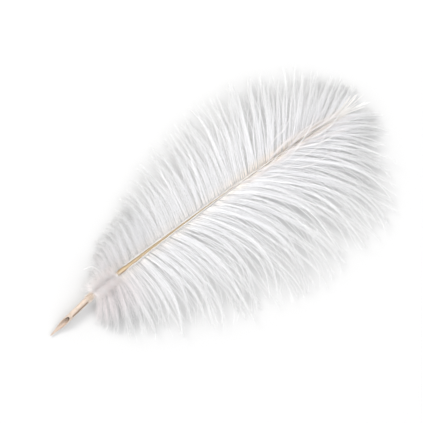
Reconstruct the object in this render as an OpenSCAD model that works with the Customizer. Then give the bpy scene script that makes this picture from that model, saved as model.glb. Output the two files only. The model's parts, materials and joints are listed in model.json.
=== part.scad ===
// Quill pen: a hand-cut nib on the barrel of an ostrich plume. It lies on a table with the
// nib's scoop and the shaft's groove facing up. +X runs along the barrel from the nib to the
// plume, +Z is up, and the origin is on the table under the middle of the pen.

/* [Barrel] */
// Length of the bare barrel, from the nib's point to the first down
barrel_len = 46; // [40:1:60]
// Outside diameter of the barrel
barrel_d = 4.6; // [4:0.1:5.6]
// Outside diameter at the nib's end, where the barrel tapers
root_d = 4.2; // [3.6:0.1:4.4]
// Thickness of the horn at the nib's end, where it is scraped
nib_wall = 0.4; // [0.3:0.05:0.5]
// Length over which the barrel tapers to the nib's end
taper_len = 20; // [14:1:22]
// Thickness of the barrel's horn wall
wall = 0.5; // [0.35:0.05:0.7]
// Angle at which the barrel rises from the table
barrel_rise = 5; // [2:1:8]
// Height of the nib's point above the table
nib_lift = 1.2; // [0.8:0.1:3]
// Length over which the barrel's top narrows to the shaft
neck_len = 7; // [4:1:10]
// Length of the closed pulp chamber inside the barrel's top
chamber_len = 10; // [8:1:14]
// Number of dried pulp caps left in the chamber
cap_count = 4; // [2:1:4]

/* [Nib] */
// Length of the scoop cut, from the nib's point to the barrel's mouth
scoop_len = 22; // [18:1:26]
// Length of the shoulders, where the cut narrows to the point
shoulder_len = 14; // [11:1:17]
// Length of the two tines, from the nib's point to the end of the slit
tine_len = 8; // [5:0.5:10]
// Width of the nib's point
point_w = 0.8; // [0.5:0.1:1.4]
// Width of the slit between the tines
slit_w = 0.1; // [0.06:0.01:0.2]
// Clearance between a tine and the barrel that it bends from
tine_gap = 0.02; // [0.01:0.01:0.05]
// Length of the crease that runs on from the mouth along the barrel
crease_len = 15; // [6:1:16]
// Width of the crease
crease_w = 0.6; // [0.3:0.1:0.8]
// Angle from the top of the barrel to the crease, towards the right vane
crease_turn = 38; // [0:2:50]

/* [Shaft] */
// Length of the shaft from the barrel's top to its fine end
shaft_len = 212; // [160:2:260]
// Width of the shaft where it leaves the barrel
shaft_w = 3.9; // [3.2:0.1:4.8]
// Width of the shaft's fine end
shaft_end_w = 0.8; // [0.7:0.05:1.2]
// Least length of the fine end that holds no pith
solid_end = 34; // [20:2:50]

/* [Barbs] */
// Thickness of a barb at the barrel's end of the shaft
barb_d = 0.6; // [0.4:0.05:0.8]
// Thickness of a barb at the shaft's fine end
fine_barb_d = 0.4; // [0.3:0.05:0.6]
// Distance between neighbouring barbs on one side
barb_pitch = 2.6; // [2:0.1:5]
// Scale of the left vane's width
left_spread = 1; // [0.7:0.05:1.3]
// Scale of the right vane's width
right_spread = 1; // [0.7:0.05:1.3]
// Length of the spray of barbs beyond the shaft's fine end
spray_len = 27; // [18:1:34]
// Depth to which a barb's root is set into the shaft
root_depth = 0.3; // [0.2:0.05:0.4]

/* [Hidden] */

horn_colour = "#d9c3a0";
pith_colour = "#f2ead9";
barb_colour = "#ffffff";

barrel_r = barrel_d / 2;
root_r = root_d / 2;
bore_r = barrel_r - wall;
chamber_step = 0.15;
chamber_r = min(bore_r - chamber_step, shaft_w / 2 - 0.7 * wall);
top_wall = 1.5;
cut_steps = 20;
past = 1;

// ---- Centreline of the shaft ----
// The shaft bends a little to the right just above the barrel, where down hides it, and then runs
// in one long, shallow curve while it levels out and sinks back towards the table.
bend_len = 10;
bend_turn = -6.5;
long_turn = -5.5;
end_rise = -4;
rings = 30;
shaft_step = shaft_len / rings;
pith_rings = floor((shaft_len - solid_end) / shaft_step);

function heading(s) = bend_turn * min(1, s / bend_len)
    + long_turn * pow(max(0, (s - bend_len) / (shaft_len - bend_len)), 1.8);
function elevation(s) = barrel_rise + (end_rise - barrel_rise) * s / shaft_len;
function direction(turn, rise) = [cos(turn) * cos(rise), sin(turn) * cos(rise), sin(rise)];

nib_axis = [0, 0, root_r * cos(barrel_rise) + nib_lift];
barrel_top = barrel_len * direction(0, barrel_rise) + nib_axis;
spine = [for (i = 0, p = barrel_top; i <= rings;
              p = p + shaft_step * direction(heading((i + 0.5) * shaft_step),
                                             elevation((i + 0.5) * shaft_step)),
              i = i + 1) p];
function spine_at(s) = let (k = min(max(s / shaft_step, 0), rings - 0.001), i = floor(k))
    spine[i] + (k - i) * (spine[i + 1] - spine[i]);
function side_at(s) = [-sin(heading(s)), cos(heading(s)), 0];
function up_at(s) = cross(direction(heading(s), elevation(s)), side_at(s));
function width_at(s) = shaft_end_w + (shaft_w - shaft_end_w) * pow(1 - s / shaft_len, 1.36);

// ---- Barbs ----
// Each side's barbs by distance along the shaft, as shares of its length: how long they are,
// and their angle from the shaft at the root and at the tip.
left_length = [[0, 15], [0.08, 24], [0.16, 34], [0.26, 39], [0.39, 53], [0.56, 59], [0.7, 62], [0.81, 54],
               [0.91, 40], [1, 26]];
left_root = [[0, 82], [0.08, 84], [0.26, 80], [0.39, 76], [0.56, 74], [0.7, 66], [0.81, 56], [0.91, 42],
             [1, 24]];
left_tip = [[0, 88], [0.08, 108], [0.26, 112], [0.39, 98], [0.56, 84], [0.7, 66], [0.81, 46], [0.91, 30],
            [1, 16]];
right_length = [[0, 30], [0.08, 46], [0.16, 56], [0.26, 74], [0.39, 92], [0.56, 102], [0.7, 96], [0.81, 70],
                [0.91, 48], [1, 26]];
right_root = [[0, 92], [0.08, 84], [0.26, 64], [0.39, 50], [0.56, 38], [0.7, 32], [0.81, 28], [0.91, 24],
              [1, 18]];
right_tip = [[0, 118], [0.08, 112], [0.26, 116], [0.39, 110], [0.56, 96], [0.7, 78], [0.81, 60], [0.91, 42],
             [1, 26]];
arch = 60;

barbs_a_side = floor((shaft_len - 2) / barb_pitch);
// Three layers: the angle at which a barb leaves the shaft, and how high its tip stops.
layer_rise = [22, 6, 14];
layer_tip = [6, 0, 2.5];

function barb_r(s) = (barb_d + (fine_barb_d - barb_d) * s / shaft_len) / 2;
function root_at(s, side, up_share) = let (w = width_at(s))
    spine_at(s) + side * (w / 2 - min(root_depth, 0.14 * w)) * side_at(s) + up_share * w * up_at(s);

// A barb is [root point, direction at the root, direction at the tip, length, radius].
function arc_turn(b) = acos(b[1] * b[2]);
function arc_radius(b) = b[3] / (arc_turn(b) * PI / 180);
function arc_normal(b) = cross(b[1], b[2]) / norm(cross(b[1], b[2]));
function arc_centre(b) = b[0] + arc_radius(b) * cross(arc_normal(b), b[1]);
function arc_end(b) = arc_centre(b)
    + arc_radius(b) * (b[1] * sin(arc_turn(b)) - cross(arc_normal(b), b[1]) * cos(arc_turn(b)));
function arc_low(b) = arc_end(b)[2] - b[4] * norm([b[2][0], b[2][1]]);

// The barb from a root that turns to a given heading and stops at a given height, by halving
function settled(root, start, turn, len, r, height, low = -88, high = 40, tries = 14) =
    let (middle = (low + high) / 2,
         b = [root, start, direction(turn, middle), len, r])
    tries == 0 ? b
    : arc_low(b) > height ? settled(root, start, turn, len, r, height, low, middle, tries - 1)
    : settled(root, start, turn, len, r, height, middle, high, tries - 1);

function barb(side, i) =
    let (s = 1 + (i + (side > 0 ? 0.25 : 0.75)) * barb_pitch,
         t = s / shaft_len,
         layer = i % 3,
         len = side > 0 ? left_spread * lookup(t, left_length) : right_spread * lookup(t, right_length),
         root_turn = side > 0 ? lookup(t, left_root) : lookup(t, right_root),
         tip_turn = side > 0 ? lookup(t, left_tip) : lookup(t, right_tip))
    settled(root_at(s, side, -0.12),
            direction(heading(s) + side * root_turn, layer_rise[layer]),
            heading(s) + side * tip_turn, len, barb_r(s), layer_tip[layer] * min(1, len / arch));

// The spray: barbs that leave the corners of the shaft's fine end, as [side, level, angle]
spray = [[1, 1, 9], [1, -1, 3], [-1, 1, -3], [-1, -1, -9]];
corner = 0.3;
function spray_barb(c) =
    let (turn = heading(shaft_len),
         root = spine_at(shaft_len) + corner * shaft_end_w * (c[0] * side_at(shaft_len) + c[1] * up_at(shaft_len))
                - root_depth * direction(turn, end_rise))
    settled(root, direction(turn + 0.7 * c[2], end_rise + 4 * c[1]), turn + 2 * c[2],
            spray_len - 0.3 * abs(c[2]), barb_r(shaft_len), 1 + c[1]);

// Loose barbs that lie across the top of the shaft from its right side: the share of the shaft's
// length at the root, the angles from the shaft at the root and the tip, the rise, and the length
crossing = [[0.62, -26, 24, 26, 40], [0.72, -30, 20, 24, 44], [0.815, -34, 16, 30, 40]];
function crossing_barb(c) =
    let (s = c[0] * shaft_len,
         turn = heading(s))
    [root_at(s, -1, 0.3), direction(turn + c[1], c[3]), direction(turn + c[2], -c[3] / 2), c[4], barb_r(s)];

all_barbs = concat([for (side = [-1, 1], i = [0 : barbs_a_side - 1]) barb(side, i)],
                   [for (c = spray) spray_barb(c)]);
far_x = max([for (b = all_barbs) arc_end(b)[0]]);
left_y = max([for (b = all_barbs) arc_end(b)[1]]);
right_y = min([for (b = all_barbs) arc_end(b)[1]]);
to_origin = [-far_x / 2, -(left_y + right_y) / 2, 0];

// ---- Barrel and nib, in the barrel's own frame: +X from the nib's point along its axis ----
module along_barrel() {
    translate(to_origin + nib_axis) rotate([0, -barrel_rise, 0]) children();
}

module rod(x0, x1, r0, r1) {
    translate([x0, 0, 0]) rotate([0, 90, 0]) cylinder(h = x1 - x0, r1 = r0, r2 = r1, $fn = 64);
}

// The neck eases from the barrel's radius to the shaft's
neck_steps = 6;
neck_edge = [for (i = [0 : neck_steps]) let (u = i / neck_steps)
    [shaft_w / 2 + (barrel_r - shaft_w / 2) * (1 + cos(180 * u)) / 2, barrel_len - neck_len * (1 - u)]];

module barrel_tube() {
    chamber_x = barrel_len - chamber_len;
    difference() {
        rotate([0, 90, 0]) rotate_extrude($fn = 64)
            polygon(concat([[0, 0], [root_r, 0], [barrel_r, taper_len]], neck_edge, [[0, barrel_len]]));
        rod(0, taper_len, root_r - nib_wall, bore_r);
        rod(taper_len, chamber_x, bore_r, bore_r);
        rod(chamber_x - past, barrel_len - top_wall, chamber_r, chamber_r);
    }
}

// Height of the scoop cut above the axis: shallow along the tines, steep at the mouth
scoop_low = 1.75 * nib_wall - root_r;
function scoop_z(x) = scoop_low + (barrel_r + past - scoop_low) * pow(x / scoop_len, 2.4);

module scoop_cutter() {
    edge = [for (i = [0 : cut_steps]) let (x = scoop_len * i / cut_steps) [x, scoop_z(x)]];
    outline = concat([[-past, scoop_low]], edge, [[scoop_len, 2 * barrel_r], [-past, 2 * barrel_r]]);
    translate([0, 2 * barrel_r, 0]) rotate([90, 0, 0]) linear_extrude(4 * barrel_r) polygon(outline);
}

// The crease: a shallow, round-ended groove pressed into the barrel
module crease_cutter() {
    rotate([crease_turn, 0, 0]) translate([0, 0, barrel_r - 0.25 * wall]) linear_extrude(barrel_r) {
        translate([scoop_len - past, -crease_w / 2]) square([crease_len + past, crease_w]);
        translate([scoop_len + crease_len, 0]) circle(d = crease_w, $fn = 24);
    }
}

// Half the nib's width: concave shoulders that run out at the full barrel
function shoulder_y(x) = point_w / 2 + (barrel_r + 0.2 - point_w / 2) * pow(x / shoulder_len, 1.3);

module shoulder_outline() {
    edge = [for (i = [0 : cut_steps]) let (x = shoulder_len * i / cut_steps) [x, shoulder_y(x)]];
    end_y = shoulder_y(shoulder_len);
    polygon(concat(edge, [[barrel_len + past, end_y], [barrel_len + past, -end_y]],
                   [for (i = [cut_steps : -1 : 0]) [edge[i][0], -edge[i][1]]]));
}

module cut_barrel() {
    intersection() {
        difference() {
            barrel_tube();
            scoop_cutter();
            crease_cutter();
        }
        translate([0, 0, -2 * barrel_r]) linear_extrude(4 * barrel_r) shoulder_outline();
    }
}

module block(x0, x1, y0, y1) {
    translate([x0, y0, -2 * barrel_r]) cube([x1 - x0, y1 - y0, 4 * barrel_r]);
}

module barrel() {
    color(horn_colour) along_barrel() intersection() {
        cut_barrel();
        block(tine_len, barrel_len + past, -2 * barrel_r, 2 * barrel_r);
    }
}

module tine(side) {
    color(horn_colour) along_barrel() intersection() {
        cut_barrel();
        if (side > 0) block(-past, tine_len - tine_gap, slit_w / 2, 2 * barrel_r);
        else block(-past, tine_len - tine_gap, -2 * barrel_r, -slit_w / 2);
    }
}

// Dried pulp caps: shallow cups, one behind the other, that fill the chamber's width
module pulp_caps() {
    room = chamber_len - top_wall;
    rim = 0.3;
    dome = 0.35 * room / cap_count;
    color(pith_colour) along_barrel()
        for (i = [0 : cap_count - 1])
            translate([barrel_len - chamber_len + room * (i + 0.25) / cap_count, 0, 0])
                difference() {
                    union() {
                        rod(0, rim, chamber_r, chamber_r);
                        rod(rim, rim + dome, chamber_r, 0.4 * chamber_r);
                    }
                    rod(-rim, dome, chamber_r, 0.3 * chamber_r);
                }
}

// ---- Shaft ----
// The horn is a squarish channel, open at the top, that the pith fills; towards the fine end the
// channel narrows to a crease. A section is two rows of points across the shaft.
row_steps = 10;
lip_angle = 52;
squareness = 2 / 2.6;

function inner_share(s) = 0.34 - 0.2 * s / shaft_len;
function row_angle(i) = lip_angle - (180 + 2 * lip_angle) * i / row_steps;
function squarish(a, r) = [r * sign(cos(a)) * pow(abs(cos(a)), squareness),
                           r * sign(sin(a)) * pow(abs(sin(a)), squareness)];
function channel_row(r) = [for (i = [0 : row_steps]) squarish(row_angle(i), r)];
function groove_row(r) = let (lip = squarish(lip_angle, r))
    [for (i = [0 : row_steps]) let (x = 1 - 2 * i / row_steps)
        [lip[0] * x, lip[1] + 0.06 - 0.45 * r * pow(1 - x * x, 3)]];
function placed(s, row) = [for (q = row) spine_at(s) + width_at(s) * (q[0] * side_at(s) + q[1] * up_at(s))];

// A closed strip through a list of sections, each two rows of equal length
module strip(sections) {
    n = len(sections[0]);
    m = n / 2;
    last = (len(sections) - 1) * n;
    quads = [for (k = [0 : len(sections) - 2])
                 let (a = k * n, b = a + n)
                 each concat([for (j = [0 : m - 2]) [a + j + 1, b + j + 1, b + j, a + j]],
                             [for (j = [m : n - 2]) [a + j + 1, a + j, b + j, b + j + 1]],
                             [[a + m, a, b, b + m], [a + m - 1, a + n - 1, b + n - 1, b + m - 1]])];
    caps = [for (j = [0 : m - 2]) each [[j + 1, j, m + j, m + j + 1],
                                        [last + j, last + j + 1, last + m + j + 1, last + m + j]]];
    polyhedron(points = [for (ring = sections) each ring],
               faces = [for (q = concat(quads, caps)) each [[q[0], q[1], q[2]], [q[0], q[2], q[3]]]],
               convexity = 6);
}

module shaft_horn() {
    color(horn_colour) translate(to_origin)
        strip([for (k = [0 : rings]) let (s = k * shaft_step)
                   concat(placed(s, channel_row(0.5)), placed(s, channel_row(inner_share(s))))]);
}

module shaft_pith() {
    color(pith_colour) translate(to_origin)
        strip([for (k = [0 : pith_rings]) let (s = k * shaft_step, r = inner_share(s))
                   concat(placed(s, channel_row(r)), placed(s, groove_row(r)))]);
}

// ---- Barbs as solids ----
module barb_solid(b) {
    x = -cross(arc_normal(b), b[1]);
    y = b[1];
    z = arc_normal(b);
    c = arc_centre(b) + to_origin;
    multmatrix([[x[0], y[0], z[0], c[0]], [x[1], y[1], z[1], c[1]], [x[2], y[2], z[2], c[2]], [0, 0, 0, 1]])
        rotate_extrude(angle = arc_turn(b), $fn = 96) translate([arc_radius(b), 0]) circle(r = b[4], $fn = 16);
}

// The barbs of one side whose roots lie between two shares of the shaft's length
module barbs(side, from, to) {
    color(barb_colour)
        for (i = [floor(from * barbs_a_side) : floor(to * barbs_a_side) - 1]) barb_solid(barb(side, i));
}

module tip_spray() {
    color(barb_colour) for (c = spray) barb_solid(spray_barb(c));
}

module crossing_barbs() {
    color(barb_colour) for (c = crossing) barb_solid(crossing_barb(c));
}

zone = [0, 0.1, 0.25, 0.42, 0.6, 0.8, 1];

barrel();
tine(1);  // tine_left
tine(-1);  // tine_right
pulp_caps();
shaft_horn();
shaft_pith();
barbs(1, zone[0], zone[1]);  // left_down
barbs(1, zone[1], zone[2]);  // left_base_barbs
barbs(1, zone[2], zone[3]);  // left_lower_barbs
barbs(1, zone[3], zone[4]);  // left_middle_barbs
barbs(1, zone[4], zone[5]);  // left_upper_barbs
barbs(1, zone[5], zone[6]);  // left_tip_barbs
barbs(-1, zone[0], zone[1]);  // right_down
barbs(-1, zone[1], zone[2]);  // right_base_barbs
barbs(-1, zone[2], zone[3]);  // right_lower_barbs
barbs(-1, zone[3], zone[4]);  // right_middle_barbs
barbs(-1, zone[4], zone[5]);  // right_upper_barbs
barbs(-1, zone[5], zone[6]);  // right_tip_barbs
tip_spray();
crossing_barbs();
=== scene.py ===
# A quill cut from a white ostrich plume, lying on a pale table with its scoop and groove up.
import bpy
import json
import math
import numpy as np
from mathutils import Euler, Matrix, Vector


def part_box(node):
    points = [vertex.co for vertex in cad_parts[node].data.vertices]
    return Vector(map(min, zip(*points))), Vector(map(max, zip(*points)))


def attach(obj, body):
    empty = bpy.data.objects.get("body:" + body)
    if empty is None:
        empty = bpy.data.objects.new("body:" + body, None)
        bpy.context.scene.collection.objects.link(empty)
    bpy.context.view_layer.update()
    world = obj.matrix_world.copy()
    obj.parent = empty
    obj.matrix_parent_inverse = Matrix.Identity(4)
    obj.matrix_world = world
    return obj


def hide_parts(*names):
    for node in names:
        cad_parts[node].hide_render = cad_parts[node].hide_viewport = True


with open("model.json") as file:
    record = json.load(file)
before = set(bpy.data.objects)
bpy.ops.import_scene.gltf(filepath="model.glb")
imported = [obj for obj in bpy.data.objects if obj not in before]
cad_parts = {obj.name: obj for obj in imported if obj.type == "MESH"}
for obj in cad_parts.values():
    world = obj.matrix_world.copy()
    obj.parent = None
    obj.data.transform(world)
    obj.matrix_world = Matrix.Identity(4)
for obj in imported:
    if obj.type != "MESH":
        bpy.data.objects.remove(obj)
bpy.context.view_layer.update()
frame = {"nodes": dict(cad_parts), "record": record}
mm = 0.001
fullTurn = 6.28  # radians, close enough for a random phase
dice = np.random.default_rng(41)


# small helpers
def linear(hexColour):
    # sRGB hex to linear RGBA
    parts = [int(hexColour[i:i + 2], 16) / 255 for i in (1, 3, 5)]
    return [c / 12.92 if c <= 0.04045 else ((c + 0.055) / 1.055) ** 2.4 for c in parts] + [1.0]


def ease(x, x0, x1):
    # a smooth step from 0 at x0 to 1 at x1
    u = np.clip((x - x0) / (x1 - x0), 0, 1)
    return u * u * (3 - 2 * u)


def keyed(keys, x):
    # a value given at a few places, read anywhere between them
    places, values = zip(*keys)
    return np.interp(x, places, values)


def unit(v):
    return v / np.maximum(np.linalg.norm(v, axis=-1, keepdims=True), 1e-12)


def smoothLine(points, count):
    # Catmull-Rom curve through the points
    p = np.vstack([2 * points[0] - points[1], points, 2 * points[-1] - points[-2]])
    x = np.linspace(0, len(points) - 1 - 1e-9, count)
    k, u = x.astype(int), (x % 1)[:, None]
    a, b, c, d = p[k], p[k + 1], p[k + 2], p[k + 3]
    return 0.5 * (2 * b + (c - a) * u + (2 * a - 5 * b + 4 * c - d) * u ** 2
                  + (3 * b - a - 3 * c + d) * u ** 3)


# camera and light: aim and width in mm, turn in degrees
cameraPlan = {"lens": 200, "sensor": 36, "aim": (4.4, 16.6, 8), "width": 300.2, "turn": 44.1}


def addCamera(plan):
    # straight above, turned so that the barrel points to the lower left corner
    data = bpy.data.cameras.new("camera")
    data.lens, data.sensor_width = plan["lens"], plan["sensor"]
    camera = bpy.data.objects.new("camera", data)
    bpy.context.scene.collection.objects.link(camera)
    away = plan["width"] * mm * plan["lens"] / plan["sensor"]
    camera.location = Vector(plan["aim"]) * mm + Vector((0, 0, away))
    camera.rotation_euler = (0, 0, -math.radians(plan["turn"]))
    data.clip_start, data.clip_end = away * 0.1, away * 20
    bpy.context.scene.camera = camera


# lamp places in m from the middle of the table, sizes in m
lightPlan = {
    "world": ("#ffffff", 1.4),
    "key": {"side": (-1.5, 1.8, 2.15), "size": 1.1, "watts": 50, "colour": "#fffdfa"},
    "fill": {"side": (1.35, -0.75, 1.95), "size": 2.4, "watts": 12, "colour": "#f4f7ff"},
}


def addLight(name, plan, turn):
    data = bpy.data.lights.new(name, "AREA")
    data.shape, data.size = "DISK", plan["size"]
    data.energy, data.color = plan["watts"], linear(plan["colour"])[:3]
    lamp = bpy.data.objects.new(name, data)
    bpy.context.scene.collection.objects.link(lamp)
    spot = Vector(plan["side"])
    spot.rotate(Euler((0, 0, -turn)))  # sides are given as the camera sees them
    lamp.location = spot
    lamp.rotation_euler = (-spot).to_track_quat("-Z", "Y").to_euler()


def addWorld(colour, strength):
    world = bpy.data.worlds.new("studio")
    bpy.context.scene.world = world
    world.use_nodes = True
    sky = world.node_tree.nodes["Background"]
    sky.inputs["Color"].default_value = linear(colour)
    sky.inputs["Strength"].default_value = strength


addCamera(cameraPlan)
addWorld(*lightPlan["world"])
for lampName in ("key", "fill"):
    addLight(lampName, lightPlan[lampName], math.radians(cameraPlan["turn"]))
bpy.context.scene.view_settings.view_transform = "Standard"
print("camera and lights set")

# the barrel's line, from its grip in the frame
grip = next(m for m in frame["record"]["mounts"] if m["name"] == "barrel_grip")
barrelAlong = -np.array(grip["axis"])
barrelSide = unit(np.cross([0, 0, 1.0], barrelAlong))
barrelUp = np.cross(barrelAlong, barrelSide)
barrelRadius = grip["dims"]["r_mm"] * mm
nibPoint = np.array(grip["pos_m"])
nibPoint = nibPoint + barrelAlong * (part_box("tine_left")[0][0] - nibPoint[0]) / barrelAlong[0]
barrelRise = math.asin(barrelAlong[2])


# materials
def newMaterial(name):
    material = bpy.data.materials.new(name)
    material.use_nodes = True
    tree = material.node_tree
    return material, tree, tree.nodes["Principled BSDF"]


def add(tree, kind, settings=None, links=None):
    # one node, with its settings by name and the sockets that feed it
    node = tree.nodes.new(kind)
    for key, value in (settings or {}).items():
        if isinstance(key, int) or key in node.inputs:
            node.inputs[key].default_value = value
        else:
            setattr(node, key, value)
    for key, source in (links or {}).items():
        tree.links.new(source, node.inputs[key])
    return node


# colours, then the crease's line of painted shade and the scoop's mouth, behind which the bore has painted
# shade: degrees round the barrel, mm from the nib's point
barrelFinish = {
    # hollow: painted shade, near black, for the bore behind the mouth
    "fresh": "#c4b4a6", "dry": "#a9998b", "neck": "#b5a18e", "hollowShade": "#0d0907", "membrane": "#a08b7c",
    # line: painted shade along the crease, also used for the specks; scrape: scrape marks and the crease's
    # band of painted shade
    "pale": "#beac9c", "line": "#5e4a3b", "scrapeAndShade": "#927f6e",
    "lineTurn": -38, "lineWidth": 0.45, "lineFrom": 21.6, "lineTo": 37.5, "mouth": 18.8,
}


def barrelKeratin(plan):
    # calamus keratin, scraped clean with a knife and heat-cured: satin, waxy, a little see-through, with
    # fine lengthwise fibres, painted shade along the crease down one side and near-black painted shade in
    # the bore behind the mouth
    material, tree, shader = newMaterial("scraped and cured calamus keratin")
    place = add(tree, "ShaderNodeTexCoord").outputs["Object"]
    own = add(tree, "ShaderNodeMapping",
              {"vector_type": "TEXTURE", "Location": nibPoint.tolist(), "Rotation": (0, -barrelRise, 0)},
              {"Vector": place}).outputs["Vector"]
    parts = add(tree, "ShaderNodeSeparateXYZ", links={"Vector": own}).outputs
    flat = add(tree, "ShaderNodeCombineXYZ", links={"Y": parts["Y"], "Z": parts["Z"]}).outputs["Vector"]
    radius = add(tree, "ShaderNodeVectorMath", {"operation": "LENGTH"}, {0: flat}).outputs["Value"]
    angle = add(tree, "ShaderNodeMath", {"operation": "ARCTAN2"}, {0: parts["Y"], 1: parts["Z"]})
    turned = add(tree, "ShaderNodeMath", {"operation": "SUBTRACT", 1: math.radians(plan["lineTurn"])},
                 {0: angle.outputs[0]})
    offLine = add(tree, "ShaderNodeMath", {"operation": "ABSOLUTE"}, {0: turned.outputs[0]}).outputs[0]
    # keratin fibres are about 0.02 mm wide; drawn 0.35 mm wide so that they show
    drawn = add(tree, "ShaderNodeMapping", {"Scale": (90, 2800, 2800)}, {"Vector": own}).outputs["Vector"]
    fibre = add(tree, "ShaderNodeTexNoise", {"Scale": 1.0, "Detail": 4.0}, {"Vector": drawn}).outputs["Fac"]
    cloud = add(tree, "ShaderNodeTexNoise", {"Scale": 420.0, "Detail": 3.0}, {"Vector": own}).outputs["Fac"]
    # knife marks run across the scraped point
    knife = add(tree, "ShaderNodeMapping", {"Scale": (1400, 300, 300), "Rotation": (0, 0, 0.6)},
                {"Vector": own}).outputs["Vector"]
    marks = add(tree, "ShaderNodeTexNoise", {"Scale": 1.0, "Detail": 2.0}, {"Vector": knife}).outputs["Fac"]
    speck = add(tree, "ShaderNodeTexVoronoi", {"Scale": 800.0}, {"Vector": own}).outputs["Distance"]
    half = plan["lineWidth"] * mm / barrelRadius
    start, end, mouth = plan["lineFrom"] * mm, plan["lineTo"] * mm, plan["mouth"] * mm
    # each mask: what it reads, where it starts and where it is full, and how strong it gets
    maskPlan = {
        "fibre": (fibre, 0.3, 0.7, 1.0),
        "cloud": (cloud, 0.45, 0.75, 0.5),
        "neck": (parts["X"], 36 * mm, 44 * mm, 0.75),
        "marks": (marks, 0.5, 0.72, 0.5),
        "point": (parts["X"], 24 * mm, 10 * mm, 1.0),
        "lineStart": (parts["X"], start - 0.6 * mm, start, 1.0),
        "lineEnd": (parts["X"], end + 0.5 * mm, end - 2.5 * mm, 1.0),
        # narrow and wide: painted shade along the crease, a dark line in a softer band
        "narrow": (offLine, half, 0.35 * half, 1.0),
        "wide": (offLine, 3.2 * half, half, 0.45),
        "speck": (speck, 0.5, 0.25, 0.85),
        "nearMouth": (parts["X"], 12 * mm, 19 * mm, 1.0),
        # painted shade: the bore goes near black beyond the mouth
        "deepShade": (parts["X"], mouth - 1.8 * mm, mouth, 1.0),
        "lining": (radius, 0.9 * barrelRadius, 0.84 * barrelRadius, 1.0),
        "tube": (parts["X"], 34 * mm, 32 * mm, 1.0),
    }
    masks = {}
    for name, (value, low, high, top) in maskPlan.items():
        masks[name] = add(tree, "ShaderNodeMapRange",
                          {"interpolation_type": "SMOOTHSTEP", "From Min": low, "From Max": high,
                           "To Max": top},
                          {"Value": value}).outputs["Result"]
    for name, factors in (("knife", ("marks", "point")), ("line", ("narrow", "lineStart", "lineEnd")),
                          ("shade", ("wide", "lineStart", "lineEnd")), ("specks", ("speck", "nearMouth")),
                          ("inside", ("lining", "tube"))):
        masks[name] = masks[factors[0]]
        for factor in factors[1:]:
            masks[name] = add(tree, "ShaderNodeMath", {"operation": "MULTIPLY"},
                              {0: masks[name], 1: masks[factor]}).outputs[0]
    # outside: fibres, clouds, neck, knife marks and the crease's line and band of painted shade; inside:
    # membrane, specks and the bore's painted shade behind the mouth
    skins = []
    for first, layers in (("dry", (("fibre", "fresh"), ("cloud", "scrapeAndShade"), ("neck", "neck"),
                                   ("knife", "scrapeAndShade"), ("shade", "scrapeAndShade"), ("line", "line"))),
                          ("membrane", (("fibre", "pale"), ("specks", "line"), ("deepShade", "hollowShade")))):
        skin = None
        for share, colour in layers:
            node = add(tree, "ShaderNodeMix", {"data_type": "RGBA", 6: linear(plan[first]),
                                               7: linear(plan[colour])}, {"Factor": masks[share]})
            if skin:
                tree.links.new(skin, node.inputs[6])
            skin = node.outputs[2]
        skins.append(skin)
    skin = add(tree, "ShaderNodeMix", {"data_type": "RGBA"},
               {"Factor": masks["inside"], 6: skins[0], 7: skins[1]})
    height = add(tree, "ShaderNodeMath", {"operation": "ADD"}, {0: fibre, 1: marks}).outputs[0]
    bump = add(tree, "ShaderNodeBump", {"Strength": 0.3, "Distance": 0.00009}, {"Height": height})
    rough = add(tree, "ShaderNodeMapRange", {"To Min": 0.36, "To Max": 0.55}, {"Value": fibre})
    tree.links.new(skin.outputs[2], shader.inputs["Base Color"])
    tree.links.new(bump.outputs["Normal"], shader.inputs["Normal"])
    tree.links.new(rough.outputs["Result"], shader.inputs["Roughness"])
    shader.inputs["IOR"].default_value = 1.54
    shader.inputs["Subsurface Weight"].default_value = 0.08
    shader.inputs["Subsurface Radius"].default_value = (0.0010, 0.0006, 0.0004)
    return material


shaftFinish = {"horn": "#cdb898", "grain": "#bba380", "fine": "#ab9070", "edge": "#86694b"}


def shaftKeratin(plan):
    # rachis cortex: smooth, satin horn with lengthwise grain, darker along its two lips and browner
    # where it gets fine
    material, tree, shader = newMaterial("rachis cortex keratin")
    run = add(tree, "ShaderNodeAttribute", {"attribute_name": "run"}).outputs["Fac"]
    edge = add(tree, "ShaderNodeAttribute", {"attribute_name": "edge"}).outputs["Fac"]
    place = add(tree, "ShaderNodeTexCoord").outputs["Object"]
    # the grain is 0.05 mm; drawn 0.4 mm wide so that it shows
    drawn = add(tree, "ShaderNodeMapping", {"Scale": (70, 2400, 2400)}, {"Vector": place}).outputs["Vector"]
    grain = add(tree, "ShaderNodeTexNoise", {"Scale": 1.0, "Detail": 4.0}, {"Vector": drawn}).outputs["Fac"]
    colour = None
    for name, share in (("grain", grain), ("fine", run), ("edge", edge)):
        node = add(tree, "ShaderNodeMix", {"data_type": "RGBA", 6: linear(plan["horn"]),
                                           7: linear(plan[name])}, {"Factor": share})
        if colour:
            tree.links.new(colour, node.inputs[6])
        colour = node.outputs[2]
    bump = add(tree, "ShaderNodeBump", {"Strength": 0.3, "Distance": 0.0001}, {"Height": grain})
    tree.links.new(colour, shader.inputs["Base Color"])
    tree.links.new(bump.outputs["Normal"], shader.inputs["Normal"])
    shader.inputs["Roughness"].default_value = 0.45
    shader.inputs["IOR"].default_value = 1.54
    return material


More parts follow.
